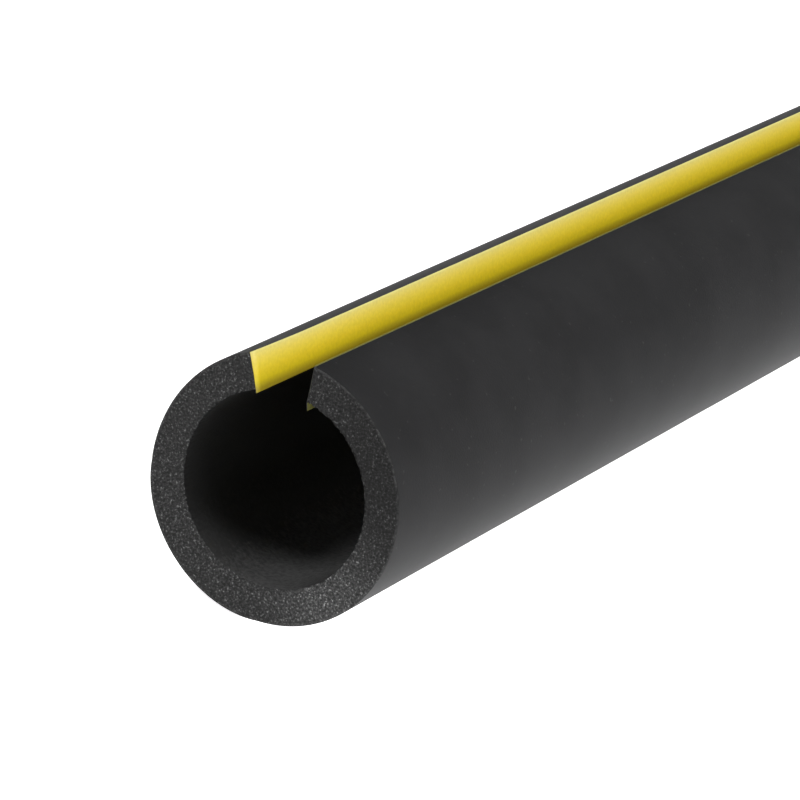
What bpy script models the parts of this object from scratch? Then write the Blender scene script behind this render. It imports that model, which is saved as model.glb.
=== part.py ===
"""Self-seal pipe lagging: a tube of black elastomeric foam, slit along its length.

The slit has sprung open. Each of its two faces carries an adhesive under a yellow release paper, so
that the tube can be clipped over a pipe, the papers pulled off and the slit pressed shut.
Metres, +Z up. The tube lies along Y with its slit on top. The origin is below its middle, on the floor.
"""

import math

import bmesh
import bpy

# The tube as it is sold: its length, its wall, and its bore when the slit is shut.
LENGTH = 1.000
WALL = 0.013
SHUT_BORE = 0.062

# The open slit, as half its angle seen from the tube's axis, at the outer and at the inner skin.
OUTER_HALF_GAP = math.radians(14.2)
INNER_HALF_GAP = math.radians(16.8)

# Release papers: thickness, the adhesive's room under them, and how far each hangs into the bore.
PAPER = 0.0002
ADHESIVE = 0.0003
LEFT_TAIL = 0.0014
RIGHT_TAIL = 0.0029

# Facets round the section. An odd number leaves a facet, and no ridge, at the very bottom.
ARC_STEPS = 91
SHARP_EDGE = math.radians(30)

# Opening the slit bends the wall and keeps the length of its middle, so the radius grows.
shut_radius = (SHUT_BORE + WALL) / 2
share_left = 1 - (OUTER_HALF_GAP + INNER_HALF_GAP) / math.tau
MIDDLE_RADIUS = shut_radius / share_left
OUTER_RADIUS = MIDDLE_RADIUS + WALL / 2
INNER_RADIUS = MIDDLE_RADIUS - WALL / 2

# The axis is this high, so that the lowest facet lies on the floor.
outer_step = (math.tau - 2 * OUTER_HALF_GAP) / ARC_STEPS
AXIS_HEIGHT = OUTER_RADIUS * math.cos(outer_step / 2)


def clear_scene():
    for old in list(bpy.data.objects):
        bpy.data.objects.remove(old)


def linear(hex_colour):
    """An sRGB colour such as 0x373737, as linear red, green, blue and alpha."""
    channels = [(hex_colour >> shift & 255) / 255 for shift in (16, 8, 0)]
    return [c / 12.92 if c <= 0.04045 else ((c + 0.055) / 1.055) ** 2.4 for c in channels] + [1]


def plain_material(name, hex_colour, roughness):
    made = bpy.data.materials.new(name)
    made.use_nodes = True
    shader = made.node_tree.nodes["Principled BSDF"]
    shader.inputs["Base Color"].default_value = linear(hex_colour)
    shader.inputs["Roughness"].default_value = roughness
    shader.inputs["Metallic"].default_value = 0
    return made


def place(name, bm, material):
    """Makes the bmesh a smooth-shaded object of that name."""
    bmesh.ops.recalc_face_normals(bm, faces=bm.faces)
    mesh = bpy.data.meshes.new(name)
    bm.to_mesh(mesh)
    bm.free()
    mesh.shade_smooth()
    mesh.set_sharp_from_angle(angle=SHARP_EDGE)
    mesh.materials.append(material)
    made = bpy.data.objects.new(name, mesh)
    bpy.context.scene.collection.objects.link(made)
    return made


def on_section(radius, angle):
    """The point at that radius and that angle from the top, clockwise as seen along +Y."""
    return radius * math.sin(angle), -LENGTH / 2, radius * math.cos(angle)


def arc_edges(bm, radius, half_gap):
    """The edges of an arc in the near end, from the right lip round the bottom to the left lip."""
    step = (math.tau - 2 * half_gap) / ARC_STEPS
    points = [bm.verts.new(on_section(radius, half_gap + step * n)) for n in range(ARC_STEPS + 1)]
    return [bm.edges.new(pair) for pair in zip(points, points[1:])]


def foam_tube(material):
    """The near end as a C between two arcs, drawn out to the tube's length."""
    bm = bmesh.new()
    skins = arc_edges(bm, OUTER_RADIUS, OUTER_HALF_GAP) + arc_edges(bm, INNER_RADIUS, INNER_HALF_GAP)
    end_face = bmesh.ops.bridge_loops(bm, edges=skins)["faces"]
    drawn = bmesh.ops.extrude_face_region(bm, geom=end_face)["geom"]
    far_points = [item for item in drawn if isinstance(item, bmesh.types.BMVert)]
    bmesh.ops.translate(bm, verts=far_points, vec=(0, LENGTH, 0))
    tube = place("foam_tube", bm, material)
    tube.location.z = AXIS_HEIGHT
    return tube


def release_paper(name, side, tail, material):
    """A strip on one face of the slit, from the outer corner to its tail. side is 1 right, -1 left."""
    outer_x, _, outer_z = on_section(OUTER_RADIUS, OUTER_HALF_GAP)
    inner_x, _, inner_z = on_section(INNER_RADIUS, INNER_HALF_GAP)
    lip_width = math.hypot(outer_x - inner_x, outer_z - inner_z)
    lip_tilt = math.atan2(outer_x - inner_x, outer_z - inner_z)
    width = lip_width + tail
    bm = bmesh.new()
    bmesh.ops.create_cube(bm, size=1)
    bmesh.ops.scale(bm, verts=bm.verts, vec=(PAPER, LENGTH, width))
    # The strip hangs from its upper edge, off the face by the adhesive, inside the gap.
    off_face = -side * (ADHESIVE + PAPER / 2)
    bmesh.ops.translate(bm, verts=bm.verts, vec=(off_face, 0, -width / 2))
    paper = place(name, bm, material)
    paper.location = (side * outer_x, 0, AXIS_HEIGHT + outer_z)
    paper.rotation_euler.y = side * lip_tilt
    return paper


def main():
    clear_scene()
    foam = plain_material("black_elastomeric_foam", 0x373737, 0.6)
    liner = plain_material("yellow_release_paper", 0xD4BD3A, 0.5)
    foam_tube(foam)
    release_paper("release_paper_left", -1, LEFT_TAIL, liner)
    release_paper("release_paper_right", 1, RIGHT_TAIL, liner)


main()
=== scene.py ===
"""Self-seal pipe lagging in a plain studio: a slit tube of black elastomeric foam, with yellow release
paper on both faces of its slit. Metres, in the part's own frame: the tube lies along Y, slit on top.
"""

import math

import bmesh
import bpy
from mathutils import Matrix, Vector, noise


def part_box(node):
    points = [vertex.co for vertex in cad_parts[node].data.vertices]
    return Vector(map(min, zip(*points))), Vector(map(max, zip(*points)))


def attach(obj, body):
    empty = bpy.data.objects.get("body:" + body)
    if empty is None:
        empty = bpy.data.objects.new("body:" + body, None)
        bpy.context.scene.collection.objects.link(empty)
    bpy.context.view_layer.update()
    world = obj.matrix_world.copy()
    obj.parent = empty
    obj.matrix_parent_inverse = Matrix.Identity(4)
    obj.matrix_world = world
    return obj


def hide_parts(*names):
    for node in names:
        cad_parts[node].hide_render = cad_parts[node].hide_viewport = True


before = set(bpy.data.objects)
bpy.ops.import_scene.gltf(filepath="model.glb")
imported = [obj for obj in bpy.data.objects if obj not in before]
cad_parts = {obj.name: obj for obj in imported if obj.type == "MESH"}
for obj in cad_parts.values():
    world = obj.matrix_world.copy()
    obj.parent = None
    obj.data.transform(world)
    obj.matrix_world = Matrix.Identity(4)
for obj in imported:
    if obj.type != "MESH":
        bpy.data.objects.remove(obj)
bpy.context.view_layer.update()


# Foam tube: closed-cell elastomeric foam, extruded as a tube, slit along its top by a blade and cut
# square at both ends. The extruder leaves a skin outside and in the bore, and a cut opens the cells. The
# faces of the slit are coated with a clear adhesive, so they stand that much further out.
WALL = 0.013
ADHESIVE = 0.0003
OUTER_HALF_GAP = math.radians(14.2)
INNER_HALF_GAP = math.radians(16.8)
low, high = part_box("foam_tube")
RADIUS = (high[0] - low[0]) / 2
AXIS_HEIGHT = low[2] + RADIUS
HALF_LENGTH = (high[1] - low[1]) / 2

# The end faces are a fine grid, for the relief of the cut cells. The skin needs few rings, close to each
# other near the ends. Edges steeper than CUT_EDGE are the ones that the knife left.
STEPS_ROUND = 560
STEPS_THROUGH_WALL = 28
RING_SPACING = (0.0008, 0.002, 0.004, 0.007, 0.010, 0.012, 0.014) + (0.030,) * 15
CUT_EDGE = math.radians(60)
CORNER_ROUNDING = 0.00022
SAME_PLACE = 1e-6
SAME_ANGLE = 1e-4

# At the near end the left lip has sprung further open than along the rest, and stands square to the wall.
SPRUNG_LENGTH = 0.045
SPRUNG_REACH = math.radians(60)
SPRUNG_OUTER = math.radians(2.5)
SPRUNG_INNER = math.radians(0.4)

# The wall is not even: next to the near end it swells on one side and is thinner higher up. Each row is
# an angle from the top, how far to either side of it, how flat the swelling is, and its height.
UNEVEN_WALL = ((math.radians(226), math.radians(44), 4, 0.00097),
               (math.radians(304), math.radians(32), 2, -0.00066))
UNEVEN_LENGTH = 0.15

# What the knife leaves on a cut face: pits where it opened cells, slow waves, and tears at the bore's
# edge. Painted light and painted shade on the cut face: each patch is a place from the tube's axis, a reach,
# and how much brighter the face is painted there.
PIT_DEPTH = 0.00035
PIT_SIZE = 0.0010
PIT_REACH = 0.6
KNIFE_WAVE_DEPTH = 0.0002
KNIFE_WAVE_SIZE = 0.009
TEAR_DEPTH = 0.0011
TEAR_SIZE = 0.0011
TEAR_REACH = 0.0014
PAINTED_LIGHT_AND_SHADE = (((0.038, 0.010), 0.064, -0.54), ((0.026, -0.032), 0.034, 0.80))

# What the extruder leaves: a dense skin, with slow waves in it. The bore is paler at the bottom and fades
# out towards TALC_AND_LIGHT_TOP, just under the axis: talc settled there, and painted light where the lamps
# above reach the bottom.
SKIN_DEPTH = 0.0006
SKIN_WAVE_DEPTH = 0.00012
SKIN_WAVE_SIZE = 0.045
TALC_AND_PAINTED_LIGHT = 0.69
TALC_AND_LIGHT_TOP = AXIS_HEIGHT - 0.006
TALC_GRAIN = 0.5

# Sizes of the colour patterns: dense patches, burst cells, the grain of each skin, cut cells, and the
# breaks in the pale line along the rim. Cells and grain are drawn coarser than they are, to show.
CLOUD_SIZE = 0.028
BURST_SIZE = 0.0016
SKIN_GRAIN_SIZE = 0.0008
BORE_GRAIN_SIZE = 0.0016
CELL_SIZE = 0.0008
RIM_BREAK_SIZE = 0.0025


def half_gap_at(radius):
    """Half the slit's angle at that radius: the slit is a little wider, in angle, at the bore."""
    inwards = (RADIUS - radius) / WALL
    return OUTER_HALF_GAP + (INNER_HALF_GAP - OUTER_HALF_GAP) * inwards


def polar(place):
    """Radius, and angle from the top of the tube, of a point of its section."""
    x, z = place.x, place.z - AXIS_HEIGHT
    return math.hypot(x, z), math.atan2(x, z) % math.tau


def from_polar(radius, angle, y):
    return Vector((radius * math.sin(angle), y, AXIS_HEIGHT + radius * math.cos(angle)))


def spin_end_face(bm):
    """The near end as a C of quads: a line across the wall, spun from one lip round to the other."""
    start = half_gap_at(RADIUS - WALL / 2)
    corners = [bm.verts.new(from_polar(RADIUS - depth, start, -HALF_LENGTH)) for depth in (0, WALL)]
    line = bm.edges.new(corners)
    bmesh.ops.subdivide_edges(bm, edges=[line], cuts=STEPS_THROUGH_WALL - 1)
    bmesh.ops.spin(bm, geom=bm.verts[:] + bm.edges[:], cent=(0, 0, AXIS_HEIGHT), axis=(0, 1, 0),
                   angle=math.tau - 2 * start, steps=STEPS_ROUND, use_merge=False, use_normal_flip=False)
    for v in bm.verts:
        radius, angle = polar(v.co)
        coated = half_gap_at(radius) - ADHESIVE / radius
        opened = (angle - math.pi) * (math.pi - coated) / (math.pi - start)
        v.co = from_polar(radius, math.pi + opened, v.co.y)


def draw_out(bm):
    """The rim of the end face drawn along the tube, ring by ring, to its middle, then mirrored."""
    rim = [e for e in bm.edges if e.is_boundary]
    for spacing in RING_SPACING:
        drawn = bmesh.ops.extrude_edge_only(bm, edges=rim)["geom"]
        ring = [item for item in drawn if isinstance(item, bmesh.types.BMVert)]
        bmesh.ops.translate(bm, verts=ring, vec=(0, spacing, 0))
        rim = [e for e in drawn if isinstance(e, bmesh.types.BMEdge) and e.is_boundary]
    to_middle = -max(v.co.y for v in bm.verts)
    for v in ring:
        v.co.y += to_middle
    bmesh.ops.mirror(bm, geom=bm.verts[:] + bm.edges[:] + bm.faces[:], merge_dist=SAME_PLACE, axis="Y")
    bmesh.ops.recalc_face_normals(bm, faces=bm.faces)


def round_cut_edges(bm):
    """A knife leaves a crisp edge, which still has a radius of a fraction of a millimetre."""
    bm.normal_update()
    cut_edges = [e for e in bm.edges if e.calc_face_angle() > CUT_EDGE]
    bmesh.ops.bevel(bm, geom=cut_edges, offset=CORNER_ROUNDING, offset_type="OFFSET", segments=2,
                    profile=0.5, affect="EDGES", clamp_overlap=True, material=-1)


def sprung_open(place):
    """Where a point goes as the left lip springs open at the near end."""
    radius, angle = polar(place)
    past_lip = max(0, math.tau - half_gap_at(radius) - angle) / SPRUNG_REACH
    past_end = (place.y + HALF_LENGTH) / SPRUNG_LENGTH
    if past_lip > 1 or past_end > 1 or angle < math.pi:
        return place
    inwards = (RADIUS - radius) / WALL
    turn = SPRUNG_OUTER + (SPRUNG_INNER - SPRUNG_OUTER) * inwards
    return from_polar(radius, angle - turn * (1 - past_lip) ** 2 * (1 - past_end) ** 2, place.y)


def swollen(place):
    """Where a point goes as the wall swells or thins: the skin moves, and the bore stays round."""
    radius, angle = polar(place)
    moved = 0
    for centre, reach, flatness, height in UNEVEN_WALL:
        moved += height * max(0, 1 - (abs(angle - centre) / reach) ** flatness)
    in_wall = 1 - (RADIUS - radius) / WALL
    past_end = (place.y + HALF_LENGTH) / UNEVEN_LENGTH
    return from_polar(radius + moved * in_wall * max(0, 1 - past_end ** 2), angle, place.y)


def cut_relief(place):
    """How deep the cut surface lies there: open cells, and slow waves from the knife."""
    nearest = noise.voronoi(place / PIT_SIZE)[0]
    pit = 1 - min(1, nearest[0] / PIT_REACH)
    wave = 0.5 + 0.5 * noise.noise(place / KNIFE_WAVE_SIZE)
    return PIT_DEPTH * pit + KNIFE_WAVE_DEPTH * wave


def torn_mouth(place):
    """How far the knife has torn the bore's edge into the wall there: most at the edge itself."""
    radius, _ = polar(place)
    from_edge = max(radius - (RADIUS - WALL), HALF_LENGTH - abs(place.y)) / TEAR_REACH
    return TEAR_DEPTH * max(0, 1 - from_edge) * abs(noise.noise(place / TEAR_SIZE))


def roughen(bm):
    """Presses the cells into both end faces, and slow waves into the skin. Each point also keeps how deep
    under the skin it lies, for the material of the cut faces."""
    depth = bm.verts.layers.float.new("depth_under_skin")
    for v in bm.verts:
        v[depth] = RADIUS - polar(v.co)[0]
        v.co = swollen(sprung_open(v.co))
        radius, angle = polar(v.co)
        if abs(v.co.y) > HALF_LENGTH - SAME_PLACE:
            relief = Vector((0, math.copysign(cut_relief(v.co), v.co.y), 0))
            v.co = from_polar(radius + torn_mouth(v.co), angle, v.co.y) - relief
        elif radius < RADIUS - WALL / 2:
            v.co = from_polar(radius + torn_mouth(v.co), angle, v.co.y)
        else:
            wave = 0.5 + 0.5 * noise.noise(v.co / SKIN_WAVE_SIZE)
            v.co = from_polar(radius - SKIN_WAVE_DEPTH * wave, angle, v.co.y)


def finished(name, bm, *materials):
    """The bmesh as a smooth piece of the object, riding on its only body."""
    mesh = bpy.data.meshes.new(name)
    bm.to_mesh(mesh)
    bm.free()
    mesh.shade_smooth()
    for material in materials:
        mesh.materials.append(material)
    piece = bpy.data.objects.new(name, mesh)
    bpy.context.scene.collection.objects.link(piece)
    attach(piece, "root")
    return piece


def linear(hex_colour):
    """An sRGB colour such as 0x373737, as linear red, green, blue and alpha."""
    channels = [(hex_colour >> shift & 255) / 255 for shift in (16, 8, 0)]
    return [c / 12.92 if c <= 0.04045 else ((c + 0.055) / 1.055) ** 2.4 for c in channels] + [1]


def new_material(name, hex_colour, roughness, **values):
    """A Principled material, and its nodes and shader for patterns to be linked to."""
    material = bpy.data.materials.new(name)
    material.use_nodes = True
    shader = material.node_tree.nodes["Principled BSDF"]
    shader.inputs["Base Color"].default_value = linear(hex_colour)
    shader.inputs["Roughness"].default_value = roughness
    for socket, value in values.items():
        shader.inputs[socket.replace("_", " ")].default_value = value
    return material, material.node_tree, shader


def node(tree, kind, settings=(), links=(), stops=(), **values):
    """Adds a node. settings are its own properties, links its sockets' sources, stops a ramp's places and
    colours, and values its sockets' values."""
    made = tree.nodes.new("ShaderNode" + kind)
    for name, value in dict(settings).items():
        setattr(made, name, value)
    for socket, value in values.items():
        made.inputs[socket.replace("_", " ")].default_value = value
    for socket, source in dict(links).items():
        tree.links.new(source, made.inputs[socket])
    for n, (position, hex_colour) in enumerate(stops):
        elements = made.color_ramp.elements
        stop = elements[n] if n < len(elements) else elements.new(position)
        stop.position = position
        stop.color = linear(hex_colour)
    return made


# Places of a Mix node's two colours and of its result, which share their names with other sockets.
FIRST_COLOUR, SECOND_COLOUR, MIXED_COLOUR = 6, 7, 2


def extruded_skin_material():
    """Skin of elastomeric foam: a dull black rubber film, with slow cloudy patches where the foam under it
    is denser, and here and there a burst cell, a speck of a fifth of a millimetre drawn at half of one."""
    material, tree, shader = new_material("extruded_foam_skin", 0x171718, 0.61, Specular_IOR_Level=0.13)
    place = node(tree, "TexCoord").outputs["Object"]
    clouds = node(tree, "TexNoise", links={"Vector": place}, Scale=1 / CLOUD_SIZE, Detail=3, Roughness=0.5)
    tone = node(tree, "ValToRGB", links={"Fac": clouds.outputs["Fac"]},
                stops=((0.38, 0x161617), (0.62, 0x1B1B1C)))
    bursts = node(tree, "TexNoise", links={"Vector": place}, Scale=1 / BURST_SIZE, Detail=0)
    burst = node(tree, "ValToRGB", links={"Fac": bursts.outputs["Fac"]},
                 stops=((0.80, 0x000000), (0.86, 0xFFFFFF)))
    colour = node(tree, "Mix", settings={"data_type": "RGBA"}, links={"Factor": burst.outputs["Color"]})
    tree.links.new(tone.outputs["Color"], colour.inputs[FIRST_COLOUR])
    colour.inputs[SECOND_COLOUR].default_value = linear(0x292929)
    tree.links.new(colour.outputs[MIXED_COLOUR], shader.inputs["Base Color"])
    grain = node(tree, "TexNoise", links={"Vector": place}, Scale=1 / SKIN_GRAIN_SIZE, Detail=2)
    bump = node(tree, "Bump", links={"Height": grain.outputs["Fac"]}, Strength=0.25, Distance=0.0002)
    tree.links.new(bump.outputs["Normal"], shader.inputs["Normal"])
    return material


def bore_skin_material():
    """Skin of the bore: dragged dull and open by the mandrel. It is dusted with talc, so that it slides
    over a pipe. Along the bottom it is painted as a paler grey bloom with a fine grain: talc settled there,
    and painted light where light from above reaches the bottom."""
    material, tree, shader = new_material("bore_foam_skin", 0x262626, 0.8, Specular_IOR_Level=0.15)
    place = node(tree, "TexCoord").outputs["Object"]
    height = node(tree, "SeparateXYZ", links={"Vector": place}).outputs["Z"]
    grain = node(tree, "TexNoise", links={"Vector": place}, Scale=1 / BORE_GRAIN_SIZE, Detail=3,
                 Roughness=0.7)
    # Paler towards the bottom of the bore: settled talc, and painted light standing in for the lamps above.
    settled_talc_and_light = node(tree, "MapRange", links={"Value": height},
                   From_Min=AXIS_HEIGHT - RADIUS + WALL, From_Max=TALC_AND_LIGHT_TOP, To_Min=TALC_AND_PAINTED_LIGHT, To_Max=0)
    tone_pattern = node(tree, "Math", settings={"operation": "MULTIPLY_ADD"},
                links={0: grain.outputs["Fac"], 2: settled_talc_and_light.outputs["Result"]})
    tone_pattern.inputs[1].default_value = TALC_GRAIN
    colours = node(tree, "ValToRGB", links={"Fac": tone_pattern.outputs["Value"]},
                   stops=((0.15, 0x131313), (0.45, 0x181818), (0.8, 0x2A2A2A), (1.0, 0x444444)))
    tree.links.new(colours.outputs["Color"], shader.inputs["Base Color"])
    bump = node(tree, "Bump", links={"Height": grain.outputs["Fac"]}, Strength=0.5, Distance=0.0003)
    tree.links.new(bump.outputs["Normal"], shader.inputs["Normal"])
    return material


def painted_patch(tree, place, centre, reach, change):
    """How much brighter, or less bright, the cut face is painted there by one patch: painted light where it
    is brighter, painted shade where it is less bright.
    """
    away = node(tree, "VectorMath", settings={"operation": "DISTANCE"}, links={0: place})
    away.inputs[1].default_value = (centre[0], 0, centre[1])
    mark = node(tree, "MapRange", settings={"interpolation_type": "SMOOTHSTEP"},
                links={"Value": away.outputs["Value"]}, From_Max=reach, To_Min=change, To_Max=0)
    return mark.outputs["Result"]


def cut_foam_material():
    """Foam cut by a knife: dark open cells, and pale specks where a cell's torn wall catches the light. The
    face is painted darker high on its right and brighter low on its right: painted shade and painted light.
    At the rim the cells are dense, and show as a pale broken line. They are drawn twice as wide as they are."""
    material, tree, shader = new_material("cut_elastomeric_foam", 0x2C2C2C, 0.8, Specular_IOR_Level=0.2)
    place = node(tree, "TexCoord").outputs["Object"]
    crumbs = node(tree, "TexNoise", links={"Vector": place}, Scale=1 / CELL_SIZE, Detail=3, Roughness=0.6)
    colours = node(tree, "ValToRGB", links={"Fac": crumbs.outputs["Fac"]},
                   stops=((0.36, 0x141414), (0.50, 0x232323), (0.61, 0x353535), (0.74, 0x767676)))
    section = node(tree, "Mapping", links={"Vector": place}, Location=(0, 0, -AXIS_HEIGHT), Scale=(1, 0, 1))
    # Two patches scale the cells' colour: painted shade high on the right of each end face, painted light low
    # on the right.
    painted_shade, painted_light = [painted_patch(tree, section.outputs["Vector"], *mark) for mark in PAINTED_LIGHT_AND_SHADE]
    both = node(tree, "Math", links={0: painted_shade, 1: painted_light})
    brightness = node(tree, "Math", links={0: both.outputs["Value"]})
    brightness.inputs[1].default_value = 1
    crumb = node(tree, "VectorMath", settings={"operation": "SCALE"},
                 links={0: colours.outputs["Color"], "Scale": brightness.outputs["Value"]})
    depth = node(tree, "Attribute", settings={"attribute_name": "depth_under_skin"})
    in_skin = node(tree, "MapRange", settings={"interpolation_type": "SMOOTHSTEP"},
                   links={"Value": depth.outputs["Fac"]},
                   From_Min=SKIN_DEPTH * 2, From_Max=SKIN_DEPTH * 0.5)
    breaks = node(tree, "TexNoise", links={"Vector": place}, Scale=1 / RIM_BREAK_SIZE, Detail=2)
    broken = node(tree, "MapRange", links={"Value": breaks.outputs["Fac"]},
                  From_Min=0.40, From_Max=0.65, To_Min=0.1, To_Max=0.7)
    rim = node(tree, "Math", settings={"operation": "MULTIPLY"},
               links={0: in_skin.outputs["Result"], 1: broken.outputs["Result"]})
    colour = node(tree, "Mix", settings={"data_type": "RGBA"}, links={"Factor": rim.outputs["Value"]})
    tree.links.new(crumb.outputs["Vector"], colour.inputs[FIRST_COLOUR])
    colour.inputs[SECOND_COLOUR].default_value = linear(0x404040)
    tree.links.new(colour.outputs[MIXED_COLOUR], shader.inputs["Base Color"])
    bump = node(tree, "Bump", links={"Height": crumbs.outputs["Fac"]}, Strength=0.8, Distance=0.0003)
    tree.links.new(bump.outputs["Normal"], shader.inputs["Normal"])
    return material


def finish_of(face):
    """Which material a face takes: 0 the outer skin, 1 a cut face, 2 the skin of the bore."""
    centre = face.calc_center_median()
    radius, angle = polar(centre)
    on_lip = min(angle, math.tau - angle) < half_gap_at(radius) + SAME_ANGLE
    if on_lip or abs(centre.y) > HALF_LENGTH - CORNER_ROUNDING:
        return 1
    return 0 if radius > RADIUS - WALL / 2 else 2


def foam_tube():
    bm = bmesh.new()
    spin_end_face(bm)
    draw_out(bm)
    round_cut_edges(bm)
    for face in bm.faces:
        face.material_index = finish_of(face)
    roughen(bm)
    return finished("foam_tube_soft", bm, extruded_skin_material(), cut_foam_material(), bore_skin_material())


tube = foam_tube()
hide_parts("foam_tube")


# Release papers: bleached paper with a yellow silicone coat, laid over the adhesive on each face of the
# slit. They are cut off with the tube, stand a hair proud of its skin and hang a little into the bore.
PAPER = 0.00018
RIPPLE_DEPTH = 0.00006
RIPPLE_LENGTH = 0.011
STEPS_ACROSS = 32
STEPS_ALONG = 250

# How far each paper stands proud of the skin, and its tail past the wall. The right one's tail is bent,
# and its ends lie a little behind the cut faces.
LEFT_PROUD = 0.00012
LEFT_TAIL = 0.0010
RIGHT_PROUD = 0.0002
RIGHT_TAIL = 0.0029
RIGHT_TAIL_BEND = math.radians(14)
RIGHT_SET_BACK = 0.0004

# The darker ends: how long they are, and how much of the paper's tone is left at the very end.
DARKER_END_LENGTH = 0.045
DARKEST_END_TONE = 0.82

# Sizes of the mottle of fibres, which are finer than this and are drawn coarser, to show.
COATED_MOTTLE_SIZE = 0.0012
BARE_MOTTLE_SIZE = 0.0010
CUT_MOTTLE_SIZE = 0.0006

outer_corner = from_polar(RADIUS, OUTER_HALF_GAP, 0)
inner_corner = from_polar(RADIUS - WALL, INNER_HALF_GAP, 0)
LIP_WIDTH = (outer_corner - inner_corner).length
LIP_LEAN = math.atan2(outer_corner.x - inner_corner.x, outer_corner.z - inner_corner.z)


def coated_paper_material():
    """Silicone on yellow paper: an even satin yellow with a faint grain of fibres. It is painted paler along
    the slit's outer edge, a painted sheen where the paper faces the light, and darker next to the bore,
    painted shade from the other lip. It is a little darker at both ends."""
    material, tree, shader = new_material("silicone_coated_paper", 0xE6CA34, 0.5, Specular_IOR_Level=0.5)
    place = node(tree, "TexCoord").outputs["Object"]
    where = node(tree, "SeparateXYZ", links={"Vector": place}).outputs
    # Down the lip the colour is paler at the outer edge, a painted sheen, and darker at the bore, painted
    # shade.
    down = node(tree, "MapRange", links={"Value": where["Z"]},
                From_Min=outer_corner.z, From_Max=inner_corner.z)
    colours = node(tree, "ValToRGB", links={"Fac": down.outputs["Result"]},
                   stops=((0.0, 0xDDD486), (0.10, 0xE1D16B), (0.24, 0xE6D054), (0.40, 0xE7D03D),
                          (0.58, 0xECD229), (0.79, 0xE8D21A), (1.0, 0xAE9B1E)))
    fibres = node(tree, "TexNoise", links={"Vector": place}, Scale=1 / COATED_MOTTLE_SIZE, Detail=3)
    fibre = node(tree, "ValToRGB", links={"Fac": fibres.outputs["Fac"]},
                 stops=((0.3, 0xF2F2F2), (0.7, 0xFFFFFF)))
    colour = node(tree, "Mix", settings={"data_type": "RGBA", "blend_type": "MULTIPLY"}, Factor=1)
    tree.links.new(colours.outputs["Color"], colour.inputs[FIRST_COLOUR])
    tree.links.new(fibre.outputs["Color"], colour.inputs[SECOND_COLOUR])
    # The paper is darker towards both ends.
    from_middle = node(tree, "Math", settings={"operation": "ABSOLUTE"}, links={0: where["Y"]})
    end_tone = node(tree, "MapRange", links={"Value": from_middle.outputs["Value"]},
                 From_Min=HALF_LENGTH - DARKER_END_LENGTH, From_Max=HALF_LENGTH, To_Min=1,
                 To_Max=DARKEST_END_TONE)
    darkened_ends = node(tree, "VectorMath", settings={"operation": "SCALE"},
                   links={0: colour.outputs[MIXED_COLOUR], "Scale": end_tone.outputs["Result"]})
    tree.links.new(darkened_ends.outputs["Vector"], shader.inputs["Base Color"])
    return material


def bare_paper_material():
    """The back and the long edges of the paper: bare fibres, a dull straw colour with a fine mottle."""
    material, tree, shader = new_material("bare_paper_back", 0x6A6937, 0.85, Specular_IOR_Level=0.2)
    place = node(tree, "TexCoord").outputs["Object"]
    fibres = node(tree, "TexNoise", links={"Vector": place}, Scale=1 / BARE_MOTTLE_SIZE, Detail=3)
    colours = node(tree, "ValToRGB", links={"Fac": fibres.outputs["Fac"]},
                   stops=((0.3, 0x62612F), (0.7, 0x72713D)))
    tree.links.new(colours.outputs["Color"], shader.inputs["Base Color"])
    return material


def cut_paper_material():
    """The paper's ends, cut with the tube: a dark grey with a fine mottle."""
    material, tree, shader = new_material("cut_paper_end", 0x393834, 0.85, Specular_IOR_Level=0.2)
    place = node(tree, "TexCoord").outputs["Object"]
    tone_pattern = node(tree, "TexNoise", links={"Vector": place}, Scale=1 / CUT_MOTTLE_SIZE, Detail=2)
    colours = node(tree, "ValToRGB", links={"Fac": tone_pattern.outputs["Fac"]},
                   stops=((0.35, 0x2C2B28), (0.65, 0x444340)))
    tree.links.new(colours.outputs["Color"], shader.inputs["Base Color"])
    return material


def on_lip(side, down, off, bend):
    """A point down the lip's face from its outer corner, and off the face. Past the wall the paper hangs
    free, and bends back under the foam."""
    along = Vector((-side * math.sin(LIP_LEAN), 0, -math.cos(LIP_LEAN)))
    out = Vector((along.z, 0, -along.x)) * side
    corner = Vector((side * outer_corner.x, 0, outer_corner.z))
    hanging = max(0, down - LIP_WIDTH)
    on_wall = corner + along * (down - hanging) + out * off
    return on_wall + Matrix.Rotation(-side * bend, 3, "Y") @ along * hanging


# A face looks a certain way when its normal has at least this share in it.
FACING = 0.5


def paper_finish(face, side):
    """Which material a face takes: 0 the coated front, 1 the back or a long edge, 2 a cut end."""
    if face.normal.x * side < -FACING:
        return 0
    return 2 if abs(face.normal.y) > FACING else 1


def release_paper(name, side, proud, tail, bend, set_back, materials):
    """A sheet laid down the face of the lip, faintly rippled, and then given its thickness."""
    width = proud + LIP_WIDTH + tail
    bm = bmesh.new()
    bmesh.ops.create_grid(bm, x_segments=STEPS_ACROSS, y_segments=STEPS_ALONG, size=0.5)
    for v in bm.verts:
        down = (v.co.x + 0.5) * width - proud
        y = v.co.y * 2 * (HALF_LENGTH - set_back)
        ripple = RIPPLE_DEPTH * noise.noise(Vector((down, y, side)) / RIPPLE_LENGTH)
        laid = on_lip(side, down, ADHESIVE + PAPER + ripple, bend)
        v.co = sprung_open(laid + Vector((0, y, 0)))
    bmesh.ops.recalc_face_normals(bm, faces=bm.faces)
    bmesh.ops.solidify(bm, geom=bm.faces[:], thickness=PAPER)
    bmesh.ops.recalc_face_normals(bm, faces=bm.faces)
    for face in bm.faces:
        face.material_index = paper_finish(face, side)
    return finished(name, bm, *materials)


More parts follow.
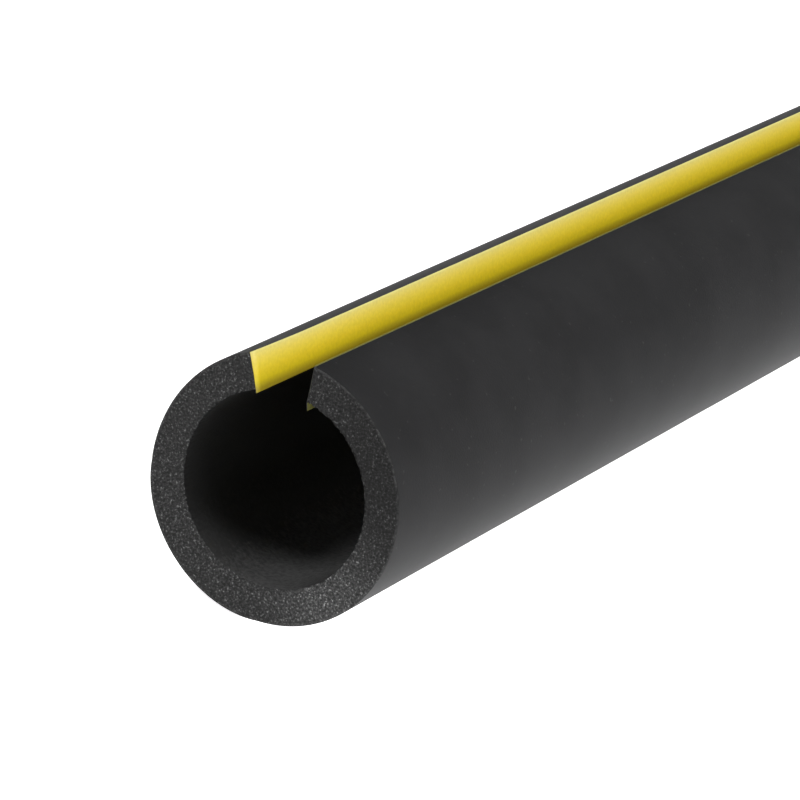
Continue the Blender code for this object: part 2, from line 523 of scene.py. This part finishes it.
paper_materials = coated_paper_material(), bare_paper_material(), cut_paper_material()
left_paper = release_paper("release_paper_left_sheet", -1, LEFT_PROUD, LEFT_TAIL, 0, 0, paper_materials)
right_paper = release_paper("release_paper_right_sheet", 1, RIGHT_PROUD, RIGHT_TAIL, RIGHT_TAIL_BEND,
                            RIGHT_SET_BACK, paper_materials)
for paper, node_name in (left_paper, "release_paper_left"), (right_paper, "release_paper_right"):
    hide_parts(node_name)


# Floor: a white sweep, level under the tube and turned up far away, so that no edge of it shows. Along
# the tube it is a light table of opal acrylic, lit from below, brightest close in on the right.
FLOOR_RADIUS = 8.0
FLOOR_SEGMENTS = 128
SWEEP_TURN = 1.2
SWEEP_STEPS = 12

# The band of light: places across the tube, as shares of its reach, each with its strength. The spot
# lies in front of the near end.
GLOW_REACH = 0.12
GLOW = ((-1.0, 0.45), (-0.7, 0.8), (-0.1, 1.05), (0.08, 1.25), (0.38, 1.55), (0.54, 0.8), (0.73, 0.27),
        (1.0, 0.03))
SPOT = (0.035, -0.515, 0)
SPOT_RADIUS = 0.045
SPOT_GLOW = 0.8


def sweep_material():
    """Matt white acrylic. Its glow is a band along the tube, and a spot in front of the near end."""
    material, tree, shader = new_material("matt_white_acrylic", 0xFAFAFA, 0.9, Specular_IOR_Level=0.2)
    place = node(tree, "TexCoord").outputs["Object"]
    across = node(tree, "SeparateXYZ", links={"Vector": place}).outputs["X"]
    share = node(tree, "MapRange", links={"Value": across}, From_Min=-GLOW_REACH, From_Max=GLOW_REACH)
    band = node(tree, "ValToRGB", links={"Fac": share.outputs["Result"]})
    for n, (side, strength) in enumerate(GLOW):
        elements = band.color_ramp.elements
        stop = elements[n] if n < len(elements) else elements.new((side + 1) / 2)
        stop.position = (side + 1) / 2
        stop.color = (strength, strength, strength, 1)
    away = node(tree, "VectorMath", settings={"operation": "DISTANCE"}, links={0: place})
    away.inputs[1].default_value = SPOT
    spot = node(tree, "MapRange", settings={"interpolation_type": "SMOOTHSTEP"},
                links={"Value": away.outputs["Value"]}, From_Min=0, From_Max=SPOT_RADIUS, To_Min=SPOT_GLOW,
                To_Max=0)
    total = node(tree, "Math", links={0: band.outputs["Color"], 1: spot.outputs["Result"]})
    shader.inputs["Emission Color"].default_value = (1, 1, 1, 1)
    tree.links.new(total.outputs["Value"], shader.inputs["Emission Strength"])
    return material


def floor():
    bm = bmesh.new()
    bmesh.ops.create_circle(bm, cap_ends=True, segments=FLOOR_SEGMENTS, radius=FLOOR_RADIUS)
    rim = [e for e in bm.edges if e.is_boundary]
    for n in range(SWEEP_STEPS):
        drawn = bmesh.ops.extrude_edge_only(bm, edges=rim)["geom"]
        ring = [item for item in drawn if isinstance(item, bmesh.types.BMVert)]
        rim = [e for e in drawn if isinstance(e, bmesh.types.BMEdge) and e.is_boundary]
        turn = math.radians(90) * (n + 1) / SWEEP_STEPS
        for v in ring:
            level = Vector((v.co.x, v.co.y, 0)).normalized()
            v.co = level * (FLOOR_RADIUS + SWEEP_TURN * math.sin(turn))
            v.co.z = SWEEP_TURN * (1 - math.cos(turn))
    mesh = bpy.data.meshes.new("studio_floor")
    bm.to_mesh(mesh)
    bm.free()
    mesh.shade_smooth()
    mesh.materials.append(sweep_material())
    made = bpy.data.objects.new("studio_floor", mesh)
    bpy.context.scene.collection.objects.link(made)
    return made


floor()


# Studio light: soft lamps, each given by its side, its elevation, how wide it looks, and its light on a
# surface that faces it. A side is counted from the near end, at 0, towards the right of it, at 90. The
# room itself is dark, so that the skin mirrors light only where it faces the floor.
LAMPS = {"front_left": (-30, 62, 20, 0.72), "right_low": (90, 15, 30, 0.40), "right": (95, 35, 45, 0.62),
         "behind": (165, 45, 50, 0.20)}
ROOM_LIGHT = 0.002


def lamp(name, side, elevation, spread, light):
    data = bpy.data.lights.new(name, "SUN")
    data.energy = light * math.pi
    data.angle = math.radians(spread)
    made = bpy.data.objects.new(name, data)
    side, elevation = math.radians(side), math.radians(elevation)
    towards = Vector((math.sin(side) * math.cos(elevation), -math.cos(side) * math.cos(elevation),
                      math.sin(elevation)))
    made.rotation_euler = towards.to_track_quat("Z", "Y").to_euler()
    bpy.context.scene.collection.objects.link(made)


def room():
    world = bpy.data.worlds.new("studio")
    world.use_nodes = True
    world.node_tree.nodes["Background"].inputs["Color"].default_value = [ROOM_LIGHT] * 3 + [1]
    bpy.context.scene.world = world
    bpy.context.scene.view_settings.view_transform = "Standard"


for name, (side, elevation, spread, light) in LAMPS.items():
    lamp(name, side, elevation, spread, light)
room()


# Camera: its place from the near end of the tube's axis, before the tube was rolled to put its slit on
# top. In the photograph the slit leans a few degrees to the right.
CAMERA_PLACE = Vector((0.7088, -1.2674, 0.4122))
CAMERA_YAW = math.radians(27.535)
CAMERA_PITCH = math.radians(14.702)
TUBE_ROLL = math.radians(5.9)
LENS = 202.18


def studio_camera():
    camera = bpy.data.objects.new("camera", bpy.data.cameras.new("camera"))
    camera.data.lens = LENS
    bpy.context.scene.collection.objects.link(camera)
    near_end = Matrix.Translation((0, -HALF_LENGTH, AXIS_HEIGHT))
    rolled = Matrix.Rotation(-TUBE_ROLL, 4, "Y")
    aimed = Matrix.Rotation(CAMERA_YAW, 4, "Z") @ Matrix.Rotation(math.radians(90) - CAMERA_PITCH, 4, "X")
    camera.matrix_world = near_end @ rolled @ Matrix.Translation(CAMERA_PLACE) @ aimed
    bpy.context.scene.camera = camera


studio_camera()
